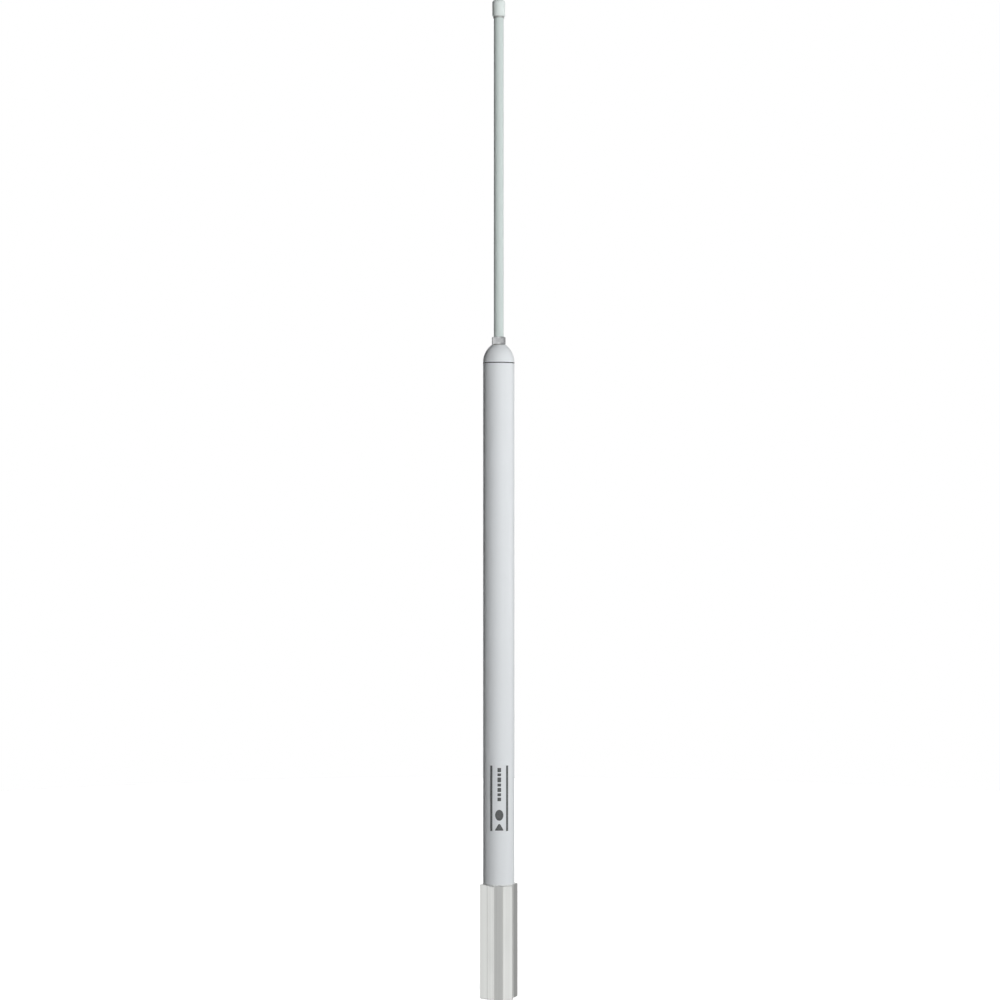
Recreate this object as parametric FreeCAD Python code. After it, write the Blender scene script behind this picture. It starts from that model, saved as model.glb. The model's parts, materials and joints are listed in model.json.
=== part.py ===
"""Omnidirectional base-station antenna: a vertical coaxial dipole in white fibreglass.

The thick lower radome holds the feed cable, its ferrite choke and the brass sleeve that is the
dipole's lower arm. The thin whip above it holds the wire that is the upper arm, and it screws into
a tapered reducer on top of the radome. An extruded six-sided foot carries the radome on a turned
spigot. Each side of the foot is a shallow V that seats on a round mast pipe, and the N jack sits
inside the foot's open bore.

Millimetres, +Z up. The foot's +Y side faces the mast. Each piece is built round the antenna's own
axis with the foot's bottom at zero, and is then moved so that the origin is on the mast seat: the
middle of that side's V, halfway up the foot.
"""
import FreeCAD, Part
import math
import os

Vector = FreeCAD.Vector
ORIGIN = Vector(0, 0, 0)
UP = Vector(0, 0, 1)

# Overall
BOND_GAP = 0.05          # glue line or fit between parts that slide together
END_GAP = 0.1            # a pin stops this far short of the floor of its cup
OVERRUN = 1.0            # a drilled hole's cut runs this far past the wall
TOLERANCE = 1e-6         # heights closer than this are the same
TOP = 1010.0             # top of the tip cap

# Foot extrusion
FOOT_LENGTH = 115.5
FOOT_FLATS = 34.6        # across flats, before the V is pressed in
FOOT_SIDES = 6
VALLEY_DEPTH = 1.6       # depth of the V in the middle of each side
FOOT_CORNER_R = 0.8
FOOT_END_CHAMFER = 0.8
DRILL_LINE_R = 0.45      # centre-line groove at the bottom of each V
MOUTH_R = 12.9           # open bore at the bottom
MOUTH_DEPTH = 40.0
CORE_R = 12.4            # bore as extruded
SPIGOT_Z = 58.0          # shoulder that the spigot stands on
EDGE = 0.6               # small chamfers on bores and turned edges

# Mast seat, where the origin goes
SEAT = Vector(0, FOOT_FLATS / 2 - VALLEY_DEPTH, FOOT_LENGTH / 2)

# Radome, the thick lower tube
RADOME_R = 16.0
RADOME_BORE_R = 13.4
SEAL_T = 1.0
FOOT_SEAL_R = 15.95
REDUCER_SEAL_R = 15.9
RADOME_Z = FOOT_LENGTH + SEAL_T
RADOME_TOP = 642.0

# Spigot between foot and radome
SPIGOT_R = RADOME_BORE_R - BOND_GAP
SPIGOT_BORE_R = 11.3
SPIGOT_LENGTH = 110.0
WEB_T = 4.0              # floor of the spigot, which carries the jack

# Blind rivets through foot and spigot
RIVET_ANGLES = (30.0, 150.0)
RIVET_Z = 86.0
RIVET_R = 2.0
RIVET_HEAD_R = 4.0
RIVET_HEAD_T = 1.1
RIVET_HEAD_ROUND = 0.66
RIVET_SEAT = 15.0        # radius of the spot face under the head
RIVET_BULB_R = 2.8
RIVET_BULB_T = 2.5

# N jack
JACK_THREAD_R = 7.94     # 5/8-24 outside
JACK_HOLE_R = 8.05
JACK_FLANGE_T = 3.0
JACK_FLANGE_FLATS = 19.0
JACK_BARREL = 11.0       # mating thread below the flange
JACK_REAR = 17.0         # thread above the flange
JACK_CAVITY_R = 4.3
JACK_CAVITY = 9.0
GASKET_T = 1.0
GASKET_R = 9.6
WASHER_T = 1.0
WASHER_R = 10.6
WASHER_TEETH = 16
WASHER_NOTCH = 1.1       # depth of the gap between two teeth
WASHER_NOTCH_SHARE = 0.45
NUT_T = 4.5
CONTACT_R = 1.5
CONTACT_BORE_R = 0.85
CONTACT_SLOT = 0.3
CONTACT_FLOOR = 1.0      # the contact's bore and slots end this far below the insulator
CONTACT_RECESS = 2.5     # contact tip behind the barrel's rim
INSULATOR_T = 14.0

# Feed cable, from the inside out
WIRE_R = 0.45
DIELECTRIC_R = 1.475
BRAID_R = 1.9
JACKET_R = 2.7
WIRE_UP = 10.5           # the wire's solder cup starts this far up the insulator
BRAID_STRIP = 1.0        # bare dielectric between insulator and braid
JACKET_IN = 4.0          # length of jacket that the jack's rear end grips
JACKET_SHORT = 5.0       # the jacket ends this far below the top of the sleeve
DIELECTRIC_STUB = 3.0    # bare dielectric above the sleeve's cap

# Ferrite choke
BEAD_R = 6.0
BEAD_LENGTH = 12.0
BEAD_PITCH = 13.0
BEAD_COUNT = 6
BEAD_Z = 90.0
SHRINK_T = 0.4
SHRINK_OVERHANG = 4.0    # past the beads at both ends
SHRINK_NECK = 1.0        # straight part on the cable
SHRINK_CONE = 2.5        # from the neck out to the beads
SHRINK_WALL_SHIFT = 0.3  # the cone starts this much later inside, so that its wall stays even

# Brass sleeve, the dipole's lower arm
SLEEVE_R = 10.0
SLEEVE_T = 0.8
SLEEVE_Z = 190.0
SLEEVE_TOP = 580.0
SLEEVE_CAP_T = 3.0
SLEEVE_CAP_LIP = 4.0     # length of the cap inside the sleeve
SPACER_T = 6.0
SPACER_COUNT = 5
SPACER_HOLE_R = 1.6
SPACER_FIRST = SLEEVE_Z + 5.0
SPACER_LAST = SLEEVE_TOP - 16.0
CENTRING_T = 10.0
CENTRING_COUNT = 4
CENTRING_FIRST = SLEEVE_Z + 15.0
CENTRING_LAST = SLEEVE_TOP - 25.0

# Reducer on top of the radome
REDUCER_SPIGOT = 40.0
REDUCER_BORE_R = 11.0
REDUCER_RIM = 2.5        # straight rim above the seal
REDUCER_Z = RADOME_TOP + SEAL_T
REDUCER_TOP = 660.9
REDUCER_TOP_R = 7.6
REDUCER_TOP_EDGE = 0.5
REDUCER_SHOULDER = (13.0, 654.6)    # radius and height that the round shoulder passes through

# Whip joint
JOINT_Z = 661.0          # face that the whip's shoulder screws down to
THREAD_PITCH = 1.5       # M10 x 1.5
THREAD_TURNS = 8
CREST_START = 0.4        # flat top of the crest, in shares of the pitch
CREST_END = 0.6
STUD_R = 4.95
STUD_ROOT_R = 4.2
SOCKET_BORE_R = 5.05
SOCKET_LEAD = 0.4        # chamfer where the stud goes in
SOCKET_SPARE = 3.0       # bore below the stud's end
SOCKET_R = 6.5
SOCKET_FLANGE_R = 8.5
SOCKET_FLANGE_T = 3.0
SOCKET_Z = 625.0
SOCKET_TAIL = 13.0
SOCKET_TAIL_T = 0.7      # wall of the tail round the link
LINK_R = 0.9
LINK_Z = 590.0
LINK_CUP = 6.0           # depth of the solder cups at both ends of the link
FERRULE_R = 7.0
FERRULE_TOP = 669.0
FERRULE_FLATS = 12.6
FLAT_LOW = 2.0           # round collar left below the wrench flats
FLAT_HIGH = 1.8          # and above them
CUP_Z = 663.5
CORE_PIN_R = 2.85
CORE_PIN_TOP = 690.0
ROD_CUP = 8.0            # depth of the rod in the core pin
RING_R = 5.0             # O-ring, centre line
RING_WIRE_R = 0.5
RING_GROOVE = 1.2
RING_SIDE_GAP = 0.2      # groove wall to ring
RING_LIFT = 0.12         # ring's underside above the joint face

# Whip, the thin upper tube
WHIP_R = 5.0
WHIP_BORE_R = 2.9
WHIP_TOP = 1004.0
ROD_R = 1.0
ROD_TOP = 985.0
WHIP_SPACER_T = 4.0
WHIP_SPACER_COUNT = 5
WHIP_SPACER_FIRST = CORE_PIN_TOP + 50.0
WHIP_SPACER_LAST = ROD_TOP - 12.0

# Tip
CAP_R = 6.5
CAP_Z = 993.5
CAP_ROUND = 2.6
TIP_SEAL_R = 5.5
TIP_SEAL_T = 1.8

# Label on the radome, on the side that is read
LABEL_ANGLE = -103.0     # direction that its middle faces, in degrees from +X
LABEL_WIDTH = 18.6
LABEL_Z = 166.0
LABEL_HEIGHT = 75.0
LABEL_T = 0.12
LABEL_GLUE = 0.02
LABEL_CORNER_R = 1.5


def cylinder(radius, low, high):
    return Part.makeCylinder(radius, high - low, Vector(0, 0, low), UP)


def tube(inner, outer, low, high):
    return cylinder(outer, low, high).cut(cylinder(inner, low, high))


def turned(*outline):
    """Solid of revolution about Z from (radius, height) points. Three points in a list are an arc."""
    edges = []
    here = None
    first = None
    for item in outline:
        if isinstance(item, list):
            start, middle, end = (Vector(r, 0, z) for r, z in item)
        else:
            start, middle, end = Vector(item[0], 0, item[1]), None, Vector(item[0], 0, item[1])
        if here is not None and here.distanceToPoint(start) > TOLERANCE:
            edges.append(Part.makeLine(here, start))
        if middle is not None:
            edges.append(Part.Arc(start, middle, end).toShape())
        first = first or start
        here = end
    edges.append(Part.makeLine(here, first))
    return Part.Face(Part.Wire(edges)).revolve(ORIGIN, UP, 360)


def prism(points, low, high):
    """Straight prism on a closed outline of (x, y) points."""
    corners = [Vector(x, y, low) for x, y in points]
    return Part.Face(Part.makePolygon(corners + corners[:1])).extrude(UP * (high - low))


def polar(radius, degrees):
    angle = math.radians(degrees)
    return radius * math.cos(angle), radius * math.sin(angle)


def hexagon(flats, low, high):
    corner_r = flats / math.sqrt(3)
    return prism([polar(corner_r, 60 * i) for i in range(6)], low, high)


def spread(low, high, count):
    """Evenly spaced heights from low to high."""
    return [low + (high - low) * i / (count - 1) for i in range(count)]


def radial_bar(radius, inner, outer, degrees, z):
    """Round bar that points outwards from the axis at one angle."""
    direction = Vector(*polar(1, degrees), 0)
    return Part.makeCylinder(radius, outer - inner, direction * inner + UP * z, direction)


# Foot

def foot_profile():
    corner_r = FOOT_FLATS / 2 / math.cos(math.pi / FOOT_SIDES)
    valley_r = FOOT_FLATS / 2 - VALLEY_DEPTH
    step = 180.0 / FOOT_SIDES
    outline = [polar(valley_r if i % 2 else corner_r, step * i) for i in range(2 * FOOT_SIDES)]
    body = prism(outline, 0, FOOT_LENGTH)
    upright = [e for e in body.Edges if e.Vertexes[0].Z != e.Vertexes[1].Z]
    between = (valley_r + corner_r) / 2
    corners = [e for e in upright if math.hypot(e.Vertexes[0].X, e.Vertexes[0].Y) > between]
    body = body.makeFillet(FOOT_CORNER_R, corners)
    rims = [e for e in body.Edges if e.BoundBox.ZLength < TOLERANCE]
    body = body.makeChamfer(FOOT_END_CHAMFER, rims)
    for i in range(FOOT_SIDES):
        x, y = polar(valley_r, step * (2 * i + 1))
        groove = Part.makeCylinder(DRILL_LINE_R, FOOT_LENGTH, Vector(x, y, 0), UP)
        body = body.cut(groove)
    bore = turned(
        (0, 0), (MOUTH_R + EDGE, 0), (MOUTH_R, EDGE), (MOUTH_R, MOUTH_DEPTH),
        (CORE_R, MOUTH_DEPTH), (CORE_R, SPIGOT_Z), (RADOME_BORE_R, SPIGOT_Z),
        (RADOME_BORE_R, FOOT_LENGTH), (0, FOOT_LENGTH),
    )
    body = body.cut(bore)
    for angle in RIVET_ANGLES:
        body = body.cut(radial_bar(RIVET_R + BOND_GAP, SPIGOT_BORE_R, corner_r, angle, RIVET_Z))
        body = body.cut(radial_bar(RIVET_HEAD_R + BOND_GAP, RIVET_SEAT, corner_r, angle, RIVET_Z))
    return body


def foot_spigot():
    top = SPIGOT_Z + SPIGOT_LENGTH
    web_top = SPIGOT_Z + WEB_T
    body = turned(
        (JACK_HOLE_R, SPIGOT_Z), (SPIGOT_R, SPIGOT_Z), (SPIGOT_R, top - 2 * EDGE),
        (SPIGOT_R - EDGE, top), (SPIGOT_BORE_R, top), (SPIGOT_BORE_R, web_top),
        (JACK_HOLE_R, web_top),
    )
    for angle in RIVET_ANGLES:
        hole = radial_bar(RIVET_R + BOND_GAP, SPIGOT_BORE_R - OVERRUN, SPIGOT_R + OVERRUN, angle, RIVET_Z)
        body = body.cut(hole)
    return body


def foot_rivets():
    rivets = []
    bore = cylinder(SPIGOT_BORE_R - BOND_GAP, RIVET_Z - RIVET_HEAD_R, RIVET_Z + RIVET_HEAD_R)
    bulb_low = SPIGOT_BORE_R - RIVET_BULB_T
    for angle in RIVET_ANGLES:
        head = radial_bar(RIVET_HEAD_R, RIVET_SEAT, RIVET_SEAT + RIVET_HEAD_T, angle, RIVET_Z)
        rim = [e for e in head.Edges if e.Closed]
        outer = max(rim, key=lambda e: Vector(e.CenterOfMass.x, e.CenterOfMass.y, 0).Length)
        head = head.makeFillet(RIVET_HEAD_ROUND, [outer])
        shank = radial_bar(RIVET_R, bulb_low + RIVET_BULB_T / 2, RIVET_SEAT, angle, RIVET_Z)
        bulb = radial_bar(RIVET_BULB_R, bulb_low, SPIGOT_R, angle, RIVET_Z).common(bore)
        rivets.append(head.fuse([shank, bulb]).removeSplitter())
    return rivets


def foot_seal():
    return tube(RADOME_BORE_R, FOOT_SEAL_R, FOOT_LENGTH, RADOME_Z)


# N jack

FLANGE_TOP = SPIGOT_Z - GASKET_T
FLANGE_LOW = FLANGE_TOP - JACK_FLANGE_T
JACK_LOW = FLANGE_LOW - JACK_BARREL
JACK_TOP = FLANGE_TOP + JACK_REAR
INSULATOR_Z = JACK_LOW + JACK_CAVITY


def jack_body():
    flange = hexagon(JACK_FLANGE_FLATS, FLANGE_LOW, FLANGE_TOP)
    barrel = turned(
        (0, JACK_LOW), (JACK_THREAD_R - EDGE, JACK_LOW), (JACK_THREAD_R, JACK_LOW + EDGE),
        (JACK_THREAD_R, JACK_TOP - EDGE), (JACK_THREAD_R - EDGE, JACK_TOP), (0, JACK_TOP),
    )
    hollow = cylinder(JACK_CAVITY_R, JACK_LOW, INSULATOR_Z + INSULATOR_T)
    entry = cylinder(JACKET_R + BOND_GAP, JACK_LOW, JACK_TOP)
    return barrel.fuse(flange).cut(hollow).cut(entry)


def jack_insulator():
    return tube(CONTACT_R + BOND_GAP, JACK_CAVITY_R - BOND_GAP, INSULATOR_Z, INSULATOR_Z + INSULATOR_T)


def jack_contact():
    low = JACK_LOW + CONTACT_RECESS
    top = INSULATOR_Z + INSULATOR_T
    bore_top = INSULATOR_Z - CONTACT_FLOOR
    body = cylinder(CONTACT_R, low, top)
    body = body.cut(cylinder(CONTACT_BORE_R, low, bore_top))
    body = body.cut(cylinder(WIRE_R + BOND_GAP, CABLE_LOW, top))
    for angle in (0, 90):
        slot = Part.makeBox(
            4 * CONTACT_R, CONTACT_SLOT, bore_top - low,
            Vector(-2 * CONTACT_R, -CONTACT_SLOT / 2, low),
        )
        slot.rotate(ORIGIN, UP, angle)
        body = body.cut(slot)
    return body


def jack_gasket():
    return tube(JACK_HOLE_R, GASKET_R, FLANGE_TOP, SPIGOT_Z)


def jack_lock_washer():
    low = SPIGOT_Z + WEB_T
    body = tube(JACK_HOLE_R, WASHER_R, low, low + WASHER_T)
    notch = WASHER_NOTCH_SHARE * 2 * math.pi * WASHER_R / WASHER_TEETH
    for i in range(WASHER_TEETH):
        corner = Vector(WASHER_R - WASHER_NOTCH, -notch / 2, low)
        gap = Part.makeBox(WASHER_NOTCH + OVERRUN, notch, WASHER_T, corner)
        gap.rotate(ORIGIN, UP, 360.0 * i / WASHER_TEETH)
        body = body.cut(gap)
    return body


def jack_nut():
    low = SPIGOT_Z + WEB_T + WASHER_T
    top = low + NUT_T
    half = JACK_FLANGE_FLATS / 2
    corner_r = JACK_FLANGE_FLATS / math.sqrt(3)
    crown = turned(
        (0, low), (half, low), (corner_r, low + EDGE), (corner_r, top - EDGE), (half, top), (0, top),
    )
    return hexagon(JACK_FLANGE_FLATS, low, top).common(crown).cut(cylinder(JACK_HOLE_R, low, top))


# Feed cable and choke

CABLE_LOW = INSULATOR_Z + WIRE_UP
CAP_TOP = SLEEVE_TOP + SLEEVE_CAP_T


def feed_wire():
    return cylinder(WIRE_R, CABLE_LOW + BOND_GAP, LINK_Z + LINK_CUP - END_GAP)


def feed_dielectric():
    return tube(WIRE_R, DIELECTRIC_R, INSULATOR_Z + INSULATOR_T, CAP_TOP + DIELECTRIC_STUB)


def feed_braid():
    return tube(DIELECTRIC_R, BRAID_R, INSULATOR_Z + INSULATOR_T + BRAID_STRIP, CAP_TOP)


def feed_jacket():
    return tube(BRAID_R, JACKET_R, JACK_TOP - JACKET_IN, SLEEVE_TOP - JACKET_SHORT)


def choke_beads():
    return [
        tube(JACKET_R + BOND_GAP, BEAD_R, BEAD_Z + BEAD_PITCH * i, BEAD_Z + BEAD_PITCH * i + BEAD_LENGTH)
        for i in range(BEAD_COUNT)
    ]


def choke_shrink_tube():
    """Shrink tube over the beads, drawn down on to the cable at both ends."""
    low = BEAD_Z - SHRINK_OVERHANG
    top = BEAD_Z + BEAD_PITCH * (BEAD_COUNT - 1) + BEAD_LENGTH + SHRINK_OVERHANG
    neck = JACKET_R + BOND_GAP
    wide = BEAD_R + BOND_GAP
    t = SHRINK_T
    start = SHRINK_NECK
    end = SHRINK_NECK + SHRINK_CONE
    start_in = start + SHRINK_WALL_SHIFT
    end_in = end + SHRINK_WALL_SHIFT
    return turned(
        (neck, low), (neck + t, low), (neck + t, low + start), (wide + t, low + end),
        (wide + t, top - end), (neck + t, top - start), (neck + t, top), (neck, top),
        (neck, top - start_in), (wide, top - end_in), (wide, low + end_in), (neck, low + start_in),
    )


# Lower arm of the dipole

def sleeve_element():
    return tube(SLEEVE_R - SLEEVE_T, SLEEVE_R, SLEEVE_Z, SLEEVE_TOP)


def sleeve_end_cap():
    lip = SLEEVE_R - SLEEVE_T - BOND_GAP
    hole = BRAID_R + BOND_GAP
    low = SLEEVE_TOP - SLEEVE_CAP_LIP
    return turned(
        (hole, low), (lip, low), (lip, SLEEVE_TOP), (SLEEVE_R, SLEEVE_TOP),
        (SLEEVE_R, CAP_TOP - EDGE), (SLEEVE_R - EDGE, CAP_TOP), (hole, CAP_TOP),
    )


def sleeve_spacers():
    """PTFE discs that hold the cable in the middle of the sleeve."""
    discs = []
    outer = SLEEVE_R - SLEEVE_T - BOND_GAP
    for z in spread(SPACER_FIRST, SPACER_LAST, SPACER_COUNT):
        disc = tube(JACKET_R + BOND_GAP, outer, z, z + SPACER_T)
        for angle in (0, 90, 180, 270):
            x, y = polar((outer + JACKET_R) / 2, angle)
            disc = disc.cut(Part.makeCylinder(SPACER_HOLE_R, SPACER_T, Vector(x, y, z), UP))
        discs.append(disc)
    return discs


def centring_rings():
    """Moulded rings that stop the sleeve rattling in the radome."""
    inner = SLEEVE_R + BOND_GAP
    outer = RADOME_BORE_R - BOND_GAP
    heights = spread(CENTRING_FIRST, CENTRING_LAST, CENTRING_COUNT)
    return [tube(inner, outer, z, z + CENTRING_T) for z in heights]


# Radome, label and reducer

def radome_tube():
    return tube(RADOME_BORE_R, RADOME_R, RADOME_Z, RADOME_TOP)


def radome_label():
    inner = RADOME_R + LABEL_GLUE
    film = tube(inner, inner + LABEL_T, LABEL_Z, LABEL_Z + LABEL_HEIGHT)
    window = Part.makeBox(
        2 * RADOME_R, LABEL_WIDTH, LABEL_HEIGHT, Vector(0, -LABEL_WIDTH / 2, LABEL_Z),
    )
    along = [e for e in window.Edges if abs(e.BoundBox.XMax - e.BoundBox.XMin) > RADOME_R]
    window = window.makeFillet(LABEL_CORNER_R, along)
    window.rotate(ORIGIN, UP, LABEL_ANGLE)
    return film.common(window)


def reducer_seal():
    return tube(RADOME_BORE_R, REDUCER_SEAL_R, RADOME_TOP, REDUCER_Z)


def reducer_body():
    low = RADOME_TOP - REDUCER_SPIGOT
    shoulder = SOCKET_Z + SOCKET_FLANGE_T + BOND_GAP
    hole = SOCKET_R + BOND_GAP
    rim_top = REDUCER_Z + REDUCER_RIM
    edge = REDUCER_TOP - REDUCER_TOP_EDGE
    return turned(
        (REDUCER_BORE_R, low), (SPIGOT_R - EDGE, low), (SPIGOT_R, low + 2 * EDGE),
        (SPIGOT_R, REDUCER_Z), (RADOME_R, REDUCER_Z),
        [(RADOME_R, rim_top), REDUCER_SHOULDER, (REDUCER_TOP_R + REDUCER_TOP_EDGE, edge)],
        (REDUCER_TOP_R, REDUCER_TOP), (hole, REDUCER_TOP), (hole, shoulder),
        (REDUCER_BORE_R, shoulder),
    )


# Whip joint

def feed_link():
    """Copper pin that joins the cable's wire to the whip socket."""
    body = cylinder(LINK_R, LINK_Z, SOCKET_Z - SOCKET_TAIL + LINK_CUP - END_GAP)
    return body.cut(cylinder(WIRE_R + BOND_GAP, LINK_Z, LINK_Z + LINK_CUP))


def whip_socket():
    tail = SOCKET_Z - SOCKET_TAIL
    tail_r = LINK_R + SOCKET_TAIL_T
    floor = JOINT_Z - THREAD_PITCH * THREAD_TURNS - SOCKET_SPARE
    body = turned(
        (0, tail), (tail_r, tail), (tail_r, SOCKET_Z), (SOCKET_FLANGE_R, SOCKET_Z),
        (SOCKET_FLANGE_R, SOCKET_Z + SOCKET_FLANGE_T), (SOCKET_R, SOCKET_Z + SOCKET_FLANGE_T),
        (SOCKET_R, JOINT_Z), (SOCKET_BORE_R + SOCKET_LEAD, JOINT_Z), (SOCKET_BORE_R, JOINT_Z - SOCKET_LEAD),
        (SOCKET_BORE_R, floor), (0, floor),
    )
    return body.cut(cylinder(LINK_R + BOND_GAP, tail, tail + LINK_CUP))


def thread_outline(low, turns):
    """Zigzag of a thread's crests and roots, from the bottom up."""
    points = []
    for i in range(turns):
        z = low + THREAD_PITCH * i
        points.append((STUD_ROOT_R, z))
        points.append((STUD_R, z + CREST_START * THREAD_PITCH))
        points.append((STUD_R, z + CREST_END * THREAD_PITCH))
    return points


def whip_ferrule():
    shoulder = JOINT_Z + BOND_GAP
    groove_top = shoulder + RING_GROOVE
    stud_low = JOINT_Z - THREAD_PITCH * THREAD_TURNS
    neck = RING_R - RING_WIRE_R - RING_SIDE_GAP
    rim = RING_R + RING_WIRE_R + RING_SIDE_GAP
    cup_r = WHIP_R + BOND_GAP
    rod_cup = CORE_PIN_TOP - ROD_CUP
    body = turned(
        (0, stud_low), *thread_outline(stud_low, THREAD_TURNS),
        (neck, shoulder), (neck, groove_top), (rim, groove_top), (rim, shoulder),
        (FERRULE_R - EDGE, shoulder), (FERRULE_R, shoulder + EDGE), (FERRULE_R, FERRULE_TOP - EDGE),
        (FERRULE_R - EDGE, FERRULE_TOP), (cup_r, FERRULE_TOP), (cup_r, CUP_Z),
        (CORE_PIN_R, CUP_Z), (CORE_PIN_R, CORE_PIN_TOP), (ROD_R + BOND_GAP, CORE_PIN_TOP),
        (ROD_R + BOND_GAP, rod_cup), (0, rod_cup),
    )
    for side in (-1, 1):
        low = shoulder + FLAT_LOW
        flat = Part.makeBox(
            2 * FERRULE_R, FERRULE_R, FERRULE_TOP - FLAT_HIGH - low,
            Vector(-FERRULE_R, side * FERRULE_FLATS / 2 - (FERRULE_R if side < 0 else 0), low),
        )
        body = body.cut(flat)
    return body


def whip_ring():
    return Part.makeTorus(RING_R, RING_WIRE_R, Vector(0, 0, JOINT_Z + RING_LIFT + RING_WIRE_R), UP)


# Whip

def whip_tube():
    return tube(WHIP_BORE_R, WHIP_R, CUP_Z + BOND_GAP, WHIP_TOP)


def whip_rod():
    return cylinder(ROD_R, CORE_PIN_TOP - ROD_CUP + BOND_GAP, ROD_TOP)


def whip_spacers():
    heights = spread(WHIP_SPACER_FIRST, WHIP_SPACER_LAST, WHIP_SPACER_COUNT)
    inner = ROD_R + BOND_GAP
    outer = WHIP_BORE_R - BOND_GAP
    return [tube(inner, outer, z, z + WHIP_SPACER_T) for z in heights]


def tip_seal():
    return tube(WHIP_R + BOND_GAP, TIP_SEAL_R, CAP_Z - TIP_SEAL_T, CAP_Z)


def tip_cap():
    bore = WHIP_R + BOND_GAP
    roof = WHIP_TOP + BOND_GAP
    half = CAP_ROUND * (1 - math.sqrt(0.5))
    return turned(
        (bore, CAP_Z), (CAP_R - EDGE, CAP_Z), (CAP_R, CAP_Z + EDGE),
        [(CAP_R, TOP - CAP_ROUND), (CAP_R - half, TOP - half), (CAP_R - CAP_ROUND, TOP)],
        (0, TOP), (0, roof), (bore, roof),
    )


NODES = (
    foot_profile, foot_spigot, foot_rivets, foot_seal,
    jack_body, jack_insulator, jack_contact, jack_gasket, jack_lock_washer, jack_nut,
    feed_wire, feed_dielectric, feed_braid, feed_jacket, choke_beads, choke_shrink_tube,
    sleeve_element, sleeve_end_cap, sleeve_spacers, centring_rings,
    radome_tube, radome_label, reducer_seal, reducer_body, feed_link, whip_socket,
    whip_ring, whip_ferrule, whip_tube, whip_rod, whip_spacers, tip_seal, tip_cap,
)


def main():
    os.makedirs("parts", exist_ok=True)
    for make in NODES:
        made = make()
        shape = Part.makeCompound(made) if isinstance(made, list) else made
        for solid in shape.Solids:
            if not solid.isValid() or solid.Volume <= 0:
                raise RuntimeError(make.__name__ + " is not a sound solid")
        shape.translate(-SEAT)
        shape.exportStep(os.path.join("parts", make.__name__ + ".step"))
        print(make.__name__, len(shape.Solids), round(shape.Volume, 1))


main()
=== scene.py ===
"""Looks for the omnidirectional antenna: materials, the label's print, studio light and camera."""

import json
import math

import bpy
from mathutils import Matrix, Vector


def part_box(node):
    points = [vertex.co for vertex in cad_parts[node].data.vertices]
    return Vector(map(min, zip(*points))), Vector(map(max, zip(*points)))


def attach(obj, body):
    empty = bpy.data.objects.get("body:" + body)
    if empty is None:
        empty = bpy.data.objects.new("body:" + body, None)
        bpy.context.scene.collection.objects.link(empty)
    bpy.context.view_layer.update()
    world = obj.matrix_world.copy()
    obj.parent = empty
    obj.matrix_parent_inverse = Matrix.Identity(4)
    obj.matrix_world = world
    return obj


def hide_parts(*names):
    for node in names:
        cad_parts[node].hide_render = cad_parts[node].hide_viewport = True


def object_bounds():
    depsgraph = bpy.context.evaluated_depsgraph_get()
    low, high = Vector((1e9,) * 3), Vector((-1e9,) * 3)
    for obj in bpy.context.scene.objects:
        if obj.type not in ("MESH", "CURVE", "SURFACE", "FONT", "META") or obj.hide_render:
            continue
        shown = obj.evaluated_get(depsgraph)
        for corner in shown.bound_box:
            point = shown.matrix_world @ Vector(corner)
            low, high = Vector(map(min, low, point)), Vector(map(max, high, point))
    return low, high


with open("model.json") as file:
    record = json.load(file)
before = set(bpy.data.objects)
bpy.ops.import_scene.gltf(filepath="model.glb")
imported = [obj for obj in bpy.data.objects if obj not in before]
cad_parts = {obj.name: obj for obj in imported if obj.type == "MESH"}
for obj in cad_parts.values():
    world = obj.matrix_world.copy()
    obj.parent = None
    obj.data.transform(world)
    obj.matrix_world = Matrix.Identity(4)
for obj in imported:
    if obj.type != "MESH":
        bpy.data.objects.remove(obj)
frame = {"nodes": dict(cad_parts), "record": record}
NODES = frame["nodes"]
LOWER = "lower_section"


def as_lists(bounds):
    return [[float(value) for value in corner] for corner in bounds]


CAD_BOUNDS = as_lists(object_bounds())
LOW, HIGH = (Vector(corner) for corner in CAD_BOUNDS)
TUBE_LOW, TUBE_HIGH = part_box("radome_tube")
AXIS_X = (TUBE_LOW.x + TUBE_HIGH.x) / 2
AXIS_Y = (TUBE_LOW.y + TUBE_HIGH.y) / 2
TUBE_R = (TUBE_HIGH.x - TUBE_LOW.x) / 2
UP = Vector((0, 0, 1))
MIDDLE = Vector((AXIS_X, AXIS_Y, (LOW.z + HIGH.z) / 2))

# Camera
VIEW_AZIMUTH = math.radians(-15)    # seen from the front, a little to the left
CAMERA_DISTANCE = 2.4
HALF_VIEW = 0.50645                 # half the frame's height where the antenna stands, in metres
CAMERA_DROP = 0.0011                # the camera is this much below the antenna's middle
CAMERA_ASIDE = 0.0013               # and this much to the right of it

# Studio
STRIP_AWAY = 2.2                    # distance of each light strip from the antenna
STRIP_HEIGHT = 3.2
# Each strip is (name, degrees from the camera's direction, width, watts, colour)
STRIPS = (
    ("key", 27, 0.45, 65, (1.0, 1.0, 1.0)),
    ("side", 100, 0.6, 18, (1.0, 1.0, 1.0)),
    ("back", -158, 0.6, 60, (0.98, 0.99, 1.0)),
)
FILL = 0.025
FILL_COLOUR = (0.95, 0.975, 1.0)
CARD_STRENGTH = 1.3
# Each card is (degrees from the camera's direction, brightness), and the ring closes on itself
CARDS = ((-180, 0.95), (-162, 0.85), (-148, 0.08), (-129, 0.05), (-116, 0.76), (-66, 0.67), (-30, 0.56),
         (-2, 0.82), (22, 0.78), (38, 0.40), (60, 0.42), (95, 0.44), (125, 0.28), (145, 0.28), (162, 0.85),
         (180, 0.95))
FLOOR_R = 1.9
FLOOR_CORNERS = 96
FLOOR_GAP = 0.0005
FLOOR_GLOW = 0.86
FLOOR_COLOUR = (0.62, 0.62, 0.62)
FLOOR_ROUGHNESS = 0.9

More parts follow.
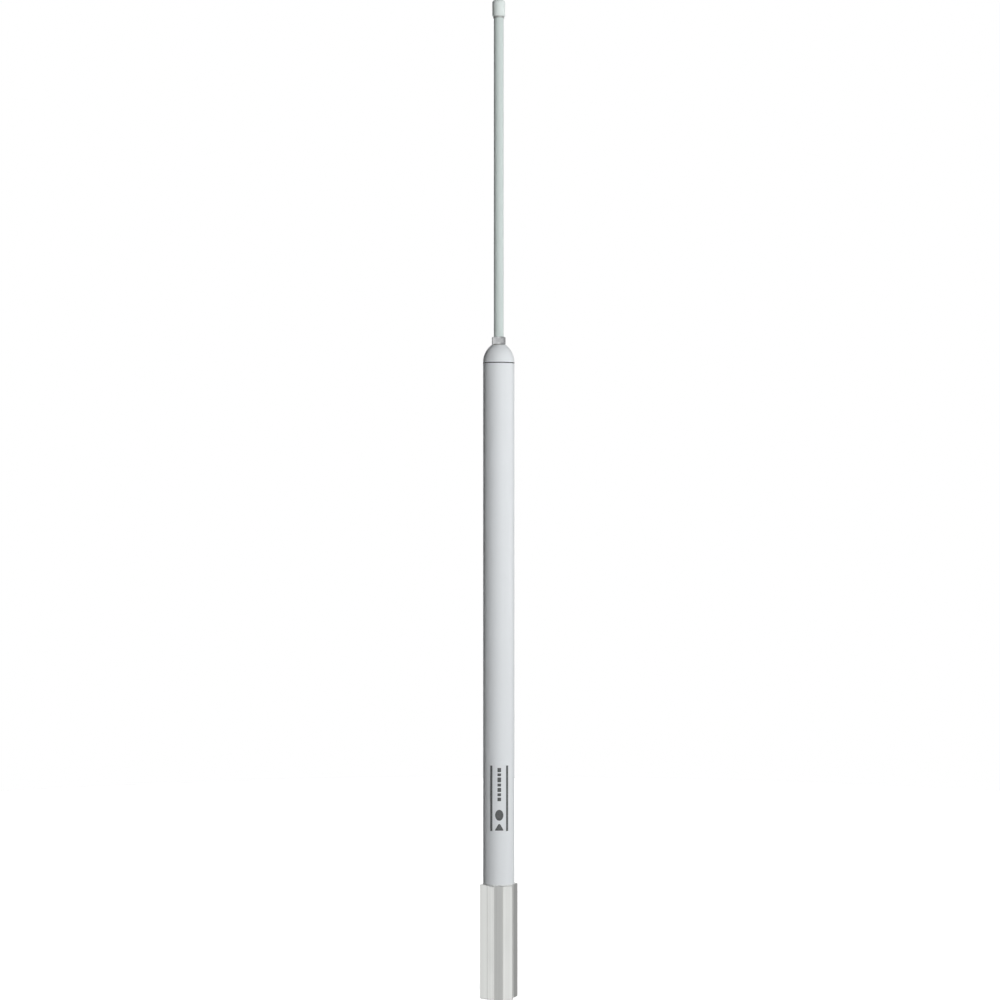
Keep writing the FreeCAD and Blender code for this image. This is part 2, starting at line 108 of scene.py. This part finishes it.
# Materials
RADOME_WHITE = (0.785, 0.813, 0.833)
BRAID_SCALE = 260                   # fineness of the braid's bands

# N jack, with a 5/8-24 thread
JACK_THREAD_R = 0.00794
THREAD_PITCH = 0.0254 / 24
THREAD_DEPTH = 0.0006
THREAD_CREST = 0.12                 # flat share of the pitch, at the crest and at the root
LEVELS_PER_TURN = 8
JACK_BARREL = 0.011
JACK_FLATS = 0.019
JACK_EDGE = 0.0006
JACK_CORNER_BEVEL = 0.0005
FIT = 0.00005                       # gap round a part that sits inside another

# Meshes of the pieces made here
RING_CORNERS = 72
SMOOTH_UNDER = math.radians(32)     # edges sharper than this stay crisp
DOME_STEPS = 8
CORNER_STEPS = 4

# Blind rivets. The places along a rivet are distances from the antenna's axis, and angles are from +X
RIVET_ANGLES = (math.radians(30), math.radians(150))
RIVET_R = 0.0020
RIVET_SEAT = 0.0150
RIVET_HEAD_R = 0.0040
RIVET_HEAD_T = 0.0010
RIVET_HEAD_EDGE = 0.00025
RIVET_EYE_R = 0.0012                # hole in the head that the mandrel was pulled through
RIVET_EYE_DEPTH = 0.0007
MANDREL_R = 0.0010
MANDREL_STUB = 0.0003
RIVET_BULB_R = 0.0028
RIVET_BULB_ENDS = (0.0088, 0.01085)
RIVET_BULB_ROUND = 0.0006

# Label print
INK_T = 0.00004
PRINT_LIFT = 0.00003
INK_DARK = (0.085, 0.089, 0.089)
INK_LIGHT = (0.130, 0.135, 0.135)
RULE_ANGLE = math.radians(29.6)     # each rule's place round the tube, from the label's middle
RULE_WIDTH = 0.0024
RULE_MARGIN = 0.0045                # rules stop short of the film's ends
LABEL_ANGLE = math.radians(-103)    # the label's middle, round the tube from +X
FILM_TOP = 0.00014                  # the film's outside, above the tube
PATCH_STEP = math.radians(1.5)
BAR_WIDTH = 0.0036
BAR_GAP = 0.0013
BARS_DOWN = 0.0022                  # the column of bars starts this far below the rules' top
BAR_HEIGHTS = (0.0042, 0.0028, 0.0048, 0.0030, 0.0042, 0.0030, 0.0036)
SHAPE_WIDTH = 0.0084
OVAL_UP = 0.0162                    # middle of each shape, above the rules' bottom
OVAL_TALL = 0.0110
OVAL_CORNERS = 24
WEDGE_UP = 0.0040
WEDGE_TALL = 0.0066
WEDGE_TIP = 0.0008                  # half the width of its blunt tip, and the height of its short sides
SAME_PLACE = 1e-9                   # places nearer to each other than this count as one


def round_axis(radius, angle, z):
    """Point at a distance and an angle round the antenna's axis."""
    return (AXIS_X + radius * math.cos(angle), AXIS_Y + radius * math.sin(angle), z)


def new_object(name, parts, material):
    """One mesh object, from parts of (vertices, faces)."""
    vertices, faces = [], []
    for points, sides in parts:
        faces += [tuple(len(vertices) + corner for corner in side) for side in sides]
        vertices += points
    mesh = bpy.data.meshes.new(name)
    mesh.from_pydata(vertices, [], faces)
    mesh.materials.append(material)
    made = bpy.data.objects.new(name, mesh)
    bpy.context.scene.collection.objects.link(made)
    return made


# Camera and light

def make_camera():
    data = bpy.data.cameras.new("camera")
    camera = bpy.data.objects.new("camera", data)
    bpy.context.scene.collection.objects.link(camera)
    away = Vector((math.sin(VIEW_AZIMUTH), -math.cos(VIEW_AZIMUTH), 0))
    side = Vector((math.cos(VIEW_AZIMUTH), math.sin(VIEW_AZIMUTH), 0))
    camera.location = MIDDLE + away * CAMERA_DISTANCE + side * CAMERA_ASIDE - Vector((0, 0, CAMERA_DROP))
    camera.rotation_euler = (math.radians(90), 0, VIEW_AZIMUTH)
    data.angle = 2 * math.atan(HALF_VIEW / CAMERA_DISTANCE)
    bpy.context.scene.camera = camera


def tall_light(name, degrees, width, power, colour):
    """Soft upright strip, taller than the antenna, so that it is lit evenly from end to end.

    It lights surfaces but isn't itself mirrored in them: the cards in the world are. The angle is
    positive to the camera's right.
    """
    angle = VIEW_AZIMUTH + math.radians(degrees)
    data = bpy.data.lights.new(name, "AREA")
    data.shape = "RECTANGLE"
    data.size = width
    data.size_y = STRIP_HEIGHT
    data.energy = power
    data.color = colour
    light = bpy.data.objects.new(name, data)
    bpy.context.scene.collection.objects.link(light)
    light.location = MIDDLE + Vector((math.sin(angle), -math.cos(angle), 0)) * STRIP_AWAY
    light.rotation_euler = (MIDDLE - light.location).to_track_quat("-Z", "Y").to_euler()
    light.visible_glossy = False


def card_ring(tree):
    """Brightness of what surfaces mirror, by direction round the antenna: soft cards and gaps."""
    place = tree.nodes.new("ShaderNodeTexCoord")
    turn = tree.nodes.new("ShaderNodeMapping")
    turn.inputs["Rotation"].default_value = (0, 0, -VIEW_AZIMUTH)
    split = tree.nodes.new("ShaderNodeSeparateXYZ")
    back = tree.nodes.new("ShaderNodeMath")
    back.operation = "MULTIPLY"
    back.inputs[1].default_value = -1
    angle = tree.nodes.new("ShaderNodeMath")
    angle.operation = "ARCTAN2"
    share = tree.nodes.new("ShaderNodeMapRange")
    share.inputs["From Min"].default_value = -math.pi
    share.inputs["From Max"].default_value = math.pi
    ring = tree.nodes.new("ShaderNodeValToRGB")
    ring.color_ramp.interpolation = "EASE"
    while len(ring.color_ramp.elements) < len(CARDS):
        ring.color_ramp.elements.new(0.5)
    for element, (degrees, level) in zip(ring.color_ramp.elements, CARDS):
        element.position = degrees / 360 + 0.5
        element.color = (level, level, level, 1)
    tree.links.new(place.outputs["Generated"], turn.inputs["Vector"])
    tree.links.new(turn.outputs["Vector"], split.inputs["Vector"])
    tree.links.new(split.outputs["Y"], back.inputs[0])
    tree.links.new(split.outputs["X"], angle.inputs[0])
    tree.links.new(back.outputs[0], angle.inputs[1])
    tree.links.new(angle.outputs[0], share.inputs["Value"])
    tree.links.new(share.outputs["Result"], ring.inputs["Fac"])
    return ring.outputs["Color"]


def make_world():
    """White behind the antenna, cards in its reflections, and a faint even fill on the rest."""
    world = bpy.data.worlds.new("studio")
    bpy.context.scene.world = world
    world.use_nodes = True
    tree = world.node_tree
    tree.nodes.clear()
    path = tree.nodes.new("ShaderNodeLightPath")
    fill = tree.nodes.new("ShaderNodeBackground")
    fill.inputs["Color"].default_value = (*FILL_COLOUR, 1)
    fill.inputs["Strength"].default_value = FILL
    cards = tree.nodes.new("ShaderNodeBackground")
    cards.inputs["Strength"].default_value = CARD_STRENGTH
    tree.links.new(card_ring(tree), cards.inputs["Color"])
    white = tree.nodes.new("ShaderNodeBackground")
    white.inputs["Color"].default_value = (1, 1, 1, 1)
    mirrored = tree.nodes.new("ShaderNodeMixShader")
    tree.links.new(path.outputs["Is Glossy Ray"], mirrored.inputs["Fac"])
    tree.links.new(fill.outputs[0], mirrored.inputs[1])
    tree.links.new(cards.outputs[0], mirrored.inputs[2])
    seen = tree.nodes.new("ShaderNodeMixShader")
    tree.links.new(path.outputs["Is Camera Ray"], seen.inputs["Fac"])
    tree.links.new(mirrored.outputs[0], seen.inputs[1])
    tree.links.new(white.outputs[0], seen.inputs[2])
    output = tree.nodes.new("ShaderNodeOutputWorld")
    tree.links.new(seen.outputs[0], output.inputs["Surface"])
    bpy.context.scene.view_settings.view_transform = "Standard"


def make_floor():
    """Round pale floor. Most of what the camera sees of it is glow, so that it meets the backdrop."""
    corners = [math.radians(360 / FLOOR_CORNERS * i) for i in range(FLOOR_CORNERS)]
    rim = [round_axis(FLOOR_R, angle, LOW.z - FLOOR_GAP) for angle in corners]
    material = Material("pale_floor")
    material.plain("Base Color", (*FLOOR_COLOUR, 1))
    material.plain("Roughness", FLOOR_ROUGHNESS)
    material.plain("Emission Color", (1, 1, 1, 1))
    path = material.add("ShaderNodeLightPath")
    glow = material.add("ShaderNodeMath", operation="MULTIPLY")
    glow.inputs[1].default_value = FLOOR_GLOW
    material.link(path.outputs["Is Camera Ray"], glow.inputs[0])
    material.link(glow.outputs[0], material.shader.inputs["Emission Strength"])
    floor = new_object("floor", [(rim, [tuple(range(FLOOR_CORNERS))])], material.data)
    floor.visible_glossy = False


# Materials

class Material:
    """A Principled material, and the procedural nodes that feed its colour, roughness and bump."""

    def __init__(self, name, metallic=0.0):
        self.data = bpy.data.materials.new(name)
        self.data.use_nodes = True
        self.tree = self.data.node_tree
        self.shader = self.tree.nodes["Principled BSDF"]
        self.plain("Metallic", metallic)
        self.place = self.add("ShaderNodeTexCoord").outputs["Object"]
        self.normal = None

    def plain(self, socket, value):
        """Gives one of the shader's inputs the same value all over."""
        self.shader.inputs[socket].default_value = value

    def add(self, kind, **settings):
        node = self.tree.nodes.new(kind)
        for name, value in settings.items():
            setattr(node, name, value)
        return node

    def link(self, output, target):
        self.tree.links.new(output, target)

    def stretched(self, scale):
        """Coordinates in metres, times a scale on each axis."""
        mapping = self.add("ShaderNodeMapping")
        mapping.inputs["Scale"].default_value = scale
        self.link(self.place, mapping.inputs["Vector"])
        return mapping.outputs["Vector"]

    def noise(self, scale, detail=3.0):
        """Noise with about this many features a metre on each axis."""
        node = self.add("ShaderNodeTexNoise")
        node.inputs["Scale"].default_value = 1.0
        node.inputs["Detail"].default_value = detail
        self.link(self.stretched(scale), node.inputs["Vector"])
        return node.outputs["Fac"]

    def ramp(self, value, low, high, start=0.3, end=0.7):
        """Number that goes from low to high as a value goes from start to end."""
        node = self.add("ShaderNodeMapRange")
        node.inputs["From Min"].default_value = start
        node.inputs["From Max"].default_value = end
        node.inputs["To Min"].default_value = low
        node.inputs["To Max"].default_value = high
        self.link(value, node.inputs["Value"])
        return node.outputs["Result"]

    def tint(self, value, first, second, start=0.3, end=0.7):
        """Colour that goes from the first to the second as a value goes from start to end."""
        node = self.add("ShaderNodeValToRGB")
        node.color_ramp.elements[0].position = start
        node.color_ramp.elements[0].color = (*first, 1)
        node.color_ramp.elements[1].position = end
        node.color_ramp.elements[1].color = (*second, 1)
        self.link(value, node.inputs["Fac"])
        return node.outputs["Color"]

    def colour(self, output):
        self.link(output, self.shader.inputs["Base Color"])

    def rough(self, output):
        self.link(output, self.shader.inputs["Roughness"])

    def bump(self, height, distance, strength=1.0):
        """Bump of a real height in metres. Each call adds to the ones before."""
        node = self.add("ShaderNodeBump")
        node.inputs["Distance"].default_value = distance
        node.inputs["Strength"].default_value = strength
        self.link(height, node.inputs["Height"])
        if self.normal is not None:
            self.link(self.normal, node.inputs["Normal"])
        self.normal = node.outputs["Normal"]
        self.link(self.normal, self.shader.inputs["Normal"])


def shade(colour, factor):
    return tuple(min(1.0, value * factor) for value in colour)


def lacquered_fibreglass(name, colour, cloudy):
    """White lacquer over fibreglass: faint clouding, orange peel, and broader dips under it."""
    look = Material(name)
    look.plain("Coat Weight", 0.35)
    look.plain("Coat Roughness", 0.12)
    clouds = look.noise((14, 14, 5), detail=1)
    look.colour(look.tint(clouds, shade(colour, 1 - cloudy), colour, 0.1, 0.9))
    look.rough(look.ramp(look.noise((90, 90, 30), detail=1), 0.27, 0.36, 0.1, 0.9))
    look.bump(look.noise((900, 900, 700), detail=2), 0.00001, 0.5)
    look.bump(look.noise((130, 130, 45), detail=1), 0.00002, 0.35)
    return look


def moulded_plastic(name, colour, roughness=0.38, grain=0.00002):
    """Faint clouding, patches of dulling, and a fine grain of the height given."""
    look = Material(name)
    clouds = look.noise((60, 60, 40), detail=1)
    look.colour(look.tint(clouds, shade(colour, 0.97), colour, 0.1, 0.9))
    patches = look.noise((220, 220, 220), detail=1)
    look.rough(look.ramp(patches, roughness - 0.05, roughness + 0.08, 0.1, 0.9))
    look.bump(look.noise((1500, 1500, 1500), detail=3), grain, 0.5)
    return look


def extruded_aluminium(name, colour):
    """Mill-finish extrusion: die lines along its length, and patches of dulling."""
    look = Material(name, metallic=1.0)
    fine = look.noise((2600, 2600, 5), detail=3)
    broad = look.noise((420, 420, 3), detail=3)
    patches = look.noise((30, 30, 14), detail=4)
    look.colour(look.tint(broad, shade(colour, 0.93), colour, 0.35, 0.65))
    look.rough(look.ramp(patches, 0.30, 0.46))
    look.bump(fine, 0.00002, 0.45)
    look.bump(broad, 0.00003, 0.3)
    return look


def turned_metal(name, colour, roughness=0.28):
    """Lathe marks: fine rings round the antenna's axis."""
    look = Material(name, metallic=1.0)
    rings = look.noise((8, 8, 3200), detail=2)
    look.colour(look.tint(look.noise((70, 70, 70)), shade(colour, 0.92), colour))
    look.rough(look.ramp(rings, roughness - 0.07, roughness + 0.10))
    look.bump(rings, 0.00002, 0.4)
    return look


def rubber(name, colour):
    """Dull and mottled, with a fine tooth."""
    look = Material(name)
    look.colour(look.tint(look.noise((240, 240, 240)), shade(colour, 0.8), shade(colour, 1.25)))
    look.rough(look.ramp(look.noise((400, 400, 400)), 0.66, 0.85))
    look.bump(look.noise((2200, 2200, 2200), detail=4), 0.00003, 0.6)
    return look


def ceramic(name, colour):
    """Sintered ferrite: speckled and slightly rough."""
    look = Material(name)
    specks = look.noise((1400, 1400, 1400), detail=5)
    look.colour(look.tint(specks, shade(colour, 0.75), shade(colour, 1.3)))
    look.rough(look.ramp(look.noise((500, 500, 500)), 0.5, 0.75))
    look.bump(look.noise((1800, 1800, 1800), detail=4), 0.00003, 0.5)
    return look


def braid(name, colour):
    """Tinned wires that cross at an angle: two sets of bands in relief."""
    look = Material(name, metallic=1.0)
    for slant in (BRAID_SCALE, -BRAID_SCALE):
        wave = look.add("ShaderNodeTexWave", wave_type="BANDS", bands_direction="DIAGONAL")
        wave.inputs["Scale"].default_value = 1.0
        wave.inputs["Distortion"].default_value = 0.4
        look.link(look.stretched((slant, slant, BRAID_SCALE)), wave.inputs["Vector"])
        look.bump(wave.outputs["Fac"], 0.00008, 0.6)
    look.rough(look.ramp(look.noise((900, 900, 900)), 0.28, 0.5))
    look.colour(look.tint(look.noise((300, 300, 300)), shade(colour, 0.8), colour))
    return look


# Each slot's material: the function that makes it, its colour, and what else the function takes
LOOKS = {
    "foot_aluminium": (extruded_aluminium, (0.80, 0.81, 0.79)),
    "turned_aluminium": (turned_metal, (0.79, 0.80, 0.81)),
    "nickel_plate": (turned_metal, (0.70, 0.68, 0.63), 0.18),
    "stainless_steel": (turned_metal, (0.62, 0.63, 0.64), 0.26),
    "gold_plate": (turned_metal, (0.86, 0.66, 0.28), 0.16),
    "brass": (turned_metal, (0.74, 0.58, 0.30), 0.25),
    "copper": (turned_metal, (0.78, 0.44, 0.29), 0.27),
    "tinned_braid": (braid, (0.72, 0.71, 0.68)),
    "ptfe": (moulded_plastic, (0.86, 0.86, 0.84), 0.42),
    "moulded_ring": (moulded_plastic, (0.64, 0.66, 0.65), 0.6),
    "black_jacket": (moulded_plastic, (0.018, 0.018, 0.02), 0.5),
    "ferrite": (ceramic, (0.05, 0.05, 0.055)),
    "seal_rubber": (rubber, (0.03, 0.03, 0.033)),
    "sealant": (rubber, (0.74, 0.76, 0.76)),
    # grey for the seal ring under the tip cap is painted shade: darker than the pale sealant so that the
    # ring stands for the cap's shadow on the rod
    "grey_sealant": (rubber, (0.38, 0.39, 0.38)),
    "radome_gloss": (lacquered_fibreglass, RADOME_WHITE, 0.012),
    "whip_gloss": (lacquered_fibreglass, (0.62, 0.695, 0.675), 0.03),
    "moulded_white": (moulded_plastic, (0.77, 0.83, 0.81)),
    "label_film": (moulded_plastic, RADOME_WHITE, 0.3, 0.00001),
}


def finish_nodes():
    """Makes each slot's material and puts it on the CAD nodes of that slot."""
    materials = {slot: make(slot, *values) for slot, (make, *values) in LOOKS.items()}
    for entry in frame["record"]["subparts"]:
        mesh = NODES[entry["node"]].data
        mesh.materials.clear()
        mesh.materials.append(materials[entry["material_slot"]].data)
    return materials


# Small turned pieces

def skin(rows, loop=False):
    """Vertices and faces through rows of ring points.

    A loop closes on its first row, or else both ends are capped.
    """
    corners = len(rows[0])
    vertices = [point for row in rows for point in row]
    joins = [(i, (i + 1) % len(rows)) for i in range(len(rows) if loop else len(rows) - 1)]
    faces = []
    for row, next_row in joins:
        here, there = row * corners, next_row * corners
        for k in range(corners):
            after = (k + 1) % corners
            faces.append((here + k, here + after, there + after, there + k))
    if not loop:
        last = (len(rows) - 1) * corners
        faces.append(tuple(reversed(range(corners))))
        faces.append(tuple(range(last, last + corners)))
    return vertices, faces


def arc(centre_r, centre_h, radius, start, end):
    """Points of (radius, height) along a round stretch, between two angles in degrees."""
    turns = [math.radians(start + (end - start) * i / CORNER_STEPS) for i in range(CORNER_STEPS + 1)]
    return [(centre_r + radius * math.cos(turn), centre_h + radius * math.sin(turn)) for turn in turns]


def ride_lower(name, parts, material):
    """One piece that rides on the lower section, from parts of (vertices, faces)."""
    piece = new_object(name, parts, material)
    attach(piece, LOWER)
    return piece


def turned_piece(name, parts, material, stands_for):
    """One smoothed piece that stands in for a CAD node."""
    piece = ride_lower(name, parts, material)
    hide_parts(stands_for)
    mesh = piece.data
    mesh.polygons.foreach_set("use_smooth", [True] * len(mesh.polygons))
    mesh.set_sharp_from_angle(angle=SMOOTH_UNDER)


def half_width(node):
    low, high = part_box(node)
    return (high.x - low.x) / 2


def thread_wave(turns):
    """Height of the thread, 0 at the root and 1 at the crest, by turns along it."""
    slope = 0.5 - THREAD_CREST
    from_crest = abs(turns - math.floor(turns) - 0.5)
    return min(1.0, max(0.0, (0.5 - THREAD_CREST / 2 - from_crest) / slope))


def make_jack_shell(material):
    """N jack's body: threaded barrel, hexagonal flange, threaded rear end and the cavity."""
    low, high = (corner.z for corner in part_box("jack_body"))
    flange_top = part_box("jack_gasket")[0].z
    flange_low = low + JACK_BARREL
    insulator_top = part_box("jack_insulator")[1].z
    cavity_r = half_width("jack_insulator") + FIT
    entry_r = half_width("feed_jacket") + FIT
    angles = [2 * math.pi * k / RING_CORNERS for k in range(RING_CORNERS)]

    def ring(z, radius):
        return [round_axis(radius(angle), angle, z) for angle in angles]

    def threads(bottom, top):
        steps = math.ceil((top - bottom) / THREAD_PITCH * LEVELS_PER_TURN)
        rows = []
        for i in range(steps + 1):
            z = bottom + (top - bottom) * i / steps
            chamfer = JACK_THREAD_R - JACK_EDGE + min(z - low, high - z)

            def radius(angle, z=z, chamfer=chamfer):
                turns = z / THREAD_PITCH - angle / (2 * math.pi)
                return min(chamfer, JACK_THREAD_R - THREAD_DEPTH * (1 - thread_wave(turns)))
            rows.append(ring(z, radius))
        return rows

    def hexagon(inset):
        def radius(angle):
            from_corner = (angle + math.pi / 6) % (math.pi / 3) - math.pi / 6
            flat_r = JACK_FLATS / 2 / math.cos(math.pi / 6 - abs(from_corner))
            return min(flat_r, JACK_FLATS / math.sqrt(3) - inset)
        return radius

    def circle(r):
        return lambda angle: r

    rows = threads(low, flange_low)
    rows.append(ring(flange_low, hexagon(2 * JACK_CORNER_BEVEL)))
    rows.append(ring(flange_low + JACK_CORNER_BEVEL, hexagon(JACK_CORNER_BEVEL / 2)))
    rows.append(ring(flange_top, hexagon(JACK_CORNER_BEVEL / 2)))
    rows += threads(flange_top, high)
    rows.append(ring(high, circle(entry_r)))
    rows.append(ring(insulator_top, circle(entry_r)))
    rows.append(ring(insulator_top, circle(cavity_r)))
    rows.append(ring(low + JACK_EDGE / 2, circle(cavity_r)))
    rows.append(ring(low, circle(cavity_r + JACK_EDGE / 2)))
    turned_piece("jack_shell", [skin(rows, loop=True)], material, "jack_body")


def make_blind_rivets(material):
    """Domed heads with the eye and the broken mandrel in them, shanks, and bulbs behind the wall."""
    low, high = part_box("foot_rivets")
    z = (low.z + high.z) / 2
    bulb_in, bulb_out = RIVET_BULB_ENDS
    corner = RIVET_BULB_ROUND
    top = RIVET_SEAT + RIVET_HEAD_T
    eye_floor = top - RIVET_EYE_DEPTH
    rise = RIVET_HEAD_T - RIVET_HEAD_EDGE
    reach = RIVET_HEAD_R - RIVET_EYE_R
    dome = []
    for i in range(DOME_STEPS + 1):
        turn = math.pi / 2 * i / DOME_STEPS
        across = RIVET_EYE_R + reach * math.cos(turn)
        dome.append((across, RIVET_SEAT + RIVET_HEAD_EDGE + rise * math.sin(turn)))
    outline = [
        (RIVET_R, bulb_in),
        *arc(RIVET_BULB_R - corner, bulb_in + corner, corner, -90, 0),
        *arc(RIVET_BULB_R - corner, bulb_out - corner, corner, 0, 90),
        (RIVET_R, bulb_out), (RIVET_R, RIVET_SEAT), (RIVET_HEAD_R, RIVET_SEAT),
        *dome,
        (MANDREL_R + FIT, eye_floor), (MANDREL_R, eye_floor), (MANDREL_R, eye_floor + MANDREL_STUB),
    ]
    parts = []
    for angle in RIVET_ANGLES:
        out = Vector((math.cos(angle), math.sin(angle), 0))
        side = Vector((-math.sin(angle), math.cos(angle), 0))
        rows = []
        for radius, along in outline:
            middle = Vector((AXIS_X, AXIS_Y, z)) + out * along
            row = []
            for k in range(RING_CORNERS):
                turn = 2 * math.pi * k / RING_CORNERS
                row.append(tuple(middle + (side * math.cos(turn) + UP * math.sin(turn)) * radius))
            rows.append(row)
        parts.append(skin(rows))
    turned_piece("blind_rivets", parts, material, "foot_rivets")


# Label print

def wrapped_patch(outline):
    """Vertices and faces of a thin closed patch that lies round the label.

    The outline is convex, of (distance round the film from its middle, height) in metres.
    """
    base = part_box("radome_label")[0].z
    radius = TUBE_R + FILM_TOP + PRINT_LIFT
    first = min(along for along, _ in outline)
    span = max(along for along, _ in outline) - first
    count = math.ceil(span / radius / PATCH_STEP) + 1
    vertices = []
    for lift in (0.0, INK_T):
        for i in range(count):
            along = first + span * i / (count - 1)
            heights = crossings(outline, along)
            for height in (min(heights), max(heights)):
                vertices.append(round_axis(radius + lift, LABEL_ANGLE + along / radius, base + height))
    layer = 2 * count
    faces = []
    for near in range(0, layer - 2, 2):
        far = near + 2
        faces.append((near, near + 1, far + 1, far))
        faces.append((layer + near, layer + far, layer + far + 1, layer + near + 1))
        faces.append((near, far, layer + far, layer + near))
        faces.append((near + 1, layer + near + 1, layer + far + 1, far + 1))
    end = layer - 2
    faces.append((0, layer, layer + 1, 1))
    faces.append((end, end + 1, layer + end + 1, layer + end))
    return vertices, faces


def crossings(outline, along):
    """Heights at which a convex outline crosses one distance round the film."""
    found = []
    for (start, low), (end, high) in zip(outline, outline[1:] + outline[:1]):
        if abs(end - start) < SAME_PLACE:
            found += [low, high] if abs(along - start) < SAME_PLACE else []
        elif min(start, end) - SAME_PLACE <= along <= max(start, end) + SAME_PLACE:
            found.append(low + (high - low) * (along - start) / (end - start))
    return found


def block(along, up, width, height):
    """Upright rectangle, with its middle at a place on the film."""
    left, right = along - width / 2, along + width / 2
    low, high = up - height / 2, up + height / 2
    return [(left, low), (right, low), (right, high), (left, high)]


def oval(up, width, height):
    """Many-sided oval, turned so that its two sides are short upright edges."""
    turns = [2 * math.pi * (i + 0.5) / OVAL_CORNERS for i in range(OVAL_CORNERS)]
    return [(width / 2 * math.cos(turn), up + height / 2 * math.sin(turn)) for turn in turns]


def wedge(up, width, height):
    """Tapered block that points up the tube, with its middle at one height."""
    low, high = up - height / 2, up + height / 2
    return [(-width / 2, low), (width / 2, low), (width / 2, low + WEDGE_TIP),
            (WEDGE_TIP, high), (-WEDGE_TIP, high), (-width / 2, low + WEDGE_TIP)]


def print_marks(name, outlines, ink):
    """One piece of the label's print, with a patch for each outline."""
    ride_lower(name, [wrapped_patch(outline) for outline in outlines], ink)


def printing_ink():
    """Dark ink, slightly uneven in tone and gloss."""
    look = Material("printing_ink")
    look.colour(look.tint(look.noise((500, 500, 500)), INK_DARK, INK_LIGHT))
    look.rough(look.ramp(look.noise((800, 800, 800)), 0.42, 0.62))
    look.bump(look.noise((2500, 2500, 2500)), 0.000005, 0.5)
    return look.data


def make_label_print():
    """Two rules with plain marks between them: a column of bars, then an oval and a wedge."""
    ink = printing_ink()
    low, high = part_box("radome_label")
    height = high.z - low.z
    reach = height - 2 * RULE_MARGIN
    place = RULE_ANGLE * (TUBE_R + FILM_TOP)
    rules = [block(side * place, height / 2, RULE_WIDTH, reach) for side in (-1, 1)]
    print_marks("label_rules", rules, ink)
    bars = []
    top = height - RULE_MARGIN - BARS_DOWN
    for bar in BAR_HEIGHTS:
        bars.append(block(0, top - bar / 2, BAR_WIDTH, bar))
        top -= bar + BAR_GAP
    print_marks("label_bars", bars, ink)
    shapes = [
        oval(RULE_MARGIN + OVAL_UP, SHAPE_WIDTH, OVAL_TALL),
        wedge(RULE_MARGIN + WEDGE_UP, SHAPE_WIDTH, WEDGE_TALL),
    ]
    print_marks("label_shapes", shapes, ink)


make_camera()
make_world()
for strip in STRIPS:
    tall_light(*strip)
make_floor()
materials = finish_nodes()
make_jack_shell(materials["nickel_plate"].data)
make_blind_rivets(materials["turned_aluminium"].data)
make_label_print()
